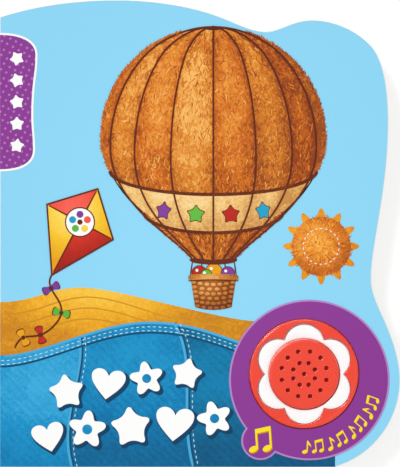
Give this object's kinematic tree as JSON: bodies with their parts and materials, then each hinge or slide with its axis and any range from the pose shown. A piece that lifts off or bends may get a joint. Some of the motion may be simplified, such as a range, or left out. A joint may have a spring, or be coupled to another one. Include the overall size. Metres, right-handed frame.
{
  "type": "sound book",
  "caption": "Die-cut board book with a round push-button sound module that stands up through its boards; both covers open at the spine.",
  "frame": {"origin": "under the middle of the closed book's bounding box, on the plane it lies on", "axes": "+X from the spine to the fore-edge, +Y to the head of the book, +Z out of the front cover"},
  "size_m": [0.165, 0.1926, 0.0189],
  "materials": {
    "cover_board": "gloss laminate over light blue print",
    "page_board": "coated white board",
    "grey_board": "coated board",
    "ink_purple": "gloss laminated print",
    "ink_blue": "gloss laminated print",
    "ink_yellow": "gloss laminated print",
    "ink_orange": "gloss laminated print",
    "ink_cream": "gloss laminated print",
    "ink_brown": "gloss laminated print",
    "ink_red": "gloss laminated print",
    "red_plastic": "glossy moulding",
    "white_plastic": "glossy moulding",
    "grey_plastic": "satin moulding",
    "steel": "plated",
    "brass": "bare",
    "green_laminate": "solder mask",
    "black_resin": "moulded resin",
    "blue_can": "sleeve",
    "cone_film": "thin film",
    "black_foam": "foam",
    "red_sleeve": "wire sleeve",
    "black_sleeve": "wire sleeve"
  },
  "bodies": {
    "pages": {"page_block": "page_board", "spine": "cover_board"},
    "front_cover": {"front_cover": "cover_board", "print_disc": "ink_purple", "print_tab": "ink_purple", "print_near_hill": "ink_blue", "print_far_hill": "ink_yellow", "print_balloon_crown": "ink_orange", "print_balloon_band": "ink_cream", "print_balloon_skirt": "ink_brown", "print_basket": "ink_brown", "print_kite": "ink_red"},
    "back_cover": {"back_cover": "cover_board", "back_lining": "grey_board", "module_case": "red_plastic", "flower_inlay": "white_plastic", "module_base": "grey_plastic", "battery_door": "grey_plastic", "battery_door_screw": "steel", "case_screw_1": "steel", "case_screw_2": "steel", "case_screw_3": "steel", "button_cell_1": "steel", "button_cell_2": "steel", "button_cell_3": "steel", "battery_contact_plus": "brass", "battery_link_top": "brass", "battery_link_door": "brass", "battery_contact_minus": "brass", "circuit_board": "green_laminate", "sound_chip": "black_resin", "capacitor": "blue_can", "switch_body": "black_resin", "speaker_magnet": "steel", "speaker_frame": "steel", "speaker_cone": "cone_film", "speaker_gasket": "black_foam", "return_spring_1": "steel", "return_spring_2": "steel", "return_spring_3": "steel", "speaker_lead_red": "red_sleeve", "speaker_lead_black": "black_sleeve"},
    "button": {"speaker_button": "red_plastic"},
    "switch_plunger": {"switch_plunger": "white_plastic"}
  },
  "joints": [
    {"name": "front_cover_hinge", "type": "hinge", "parent": "pages", "child": "front_cover", "pos_m": [-0.0828, 0, 0.01495], "axis": [0, -1, 0], "range_deg": [0, 180]},
    {"name": "back_cover_hinge", "type": "hinge", "parent": "pages", "child": "back_cover", "pos_m": [-0.0828, 0, 0.00415], "axis": [0, 1, 0], "range_deg": [0, 180]},
    {"name": "button_press", "type": "slide", "parent": "back_cover", "child": "button", "axis": [0, 0, -1], "range_m": [0, 0.0012], "stiffness_N_per_m": 400, "deforming": ["return_spring_1", "return_spring_2", "return_spring_3"]},
    {"name": "switch_press", "type": "slide", "parent": "back_cover", "child": "switch_plunger", "axis": [0, 0, -1], "range_m": [0, 0.00035]}
  ],
  "couplings": [
    {"joint": "switch_press", "follows": "button_press", "ratio": 0.29}
  ]
}
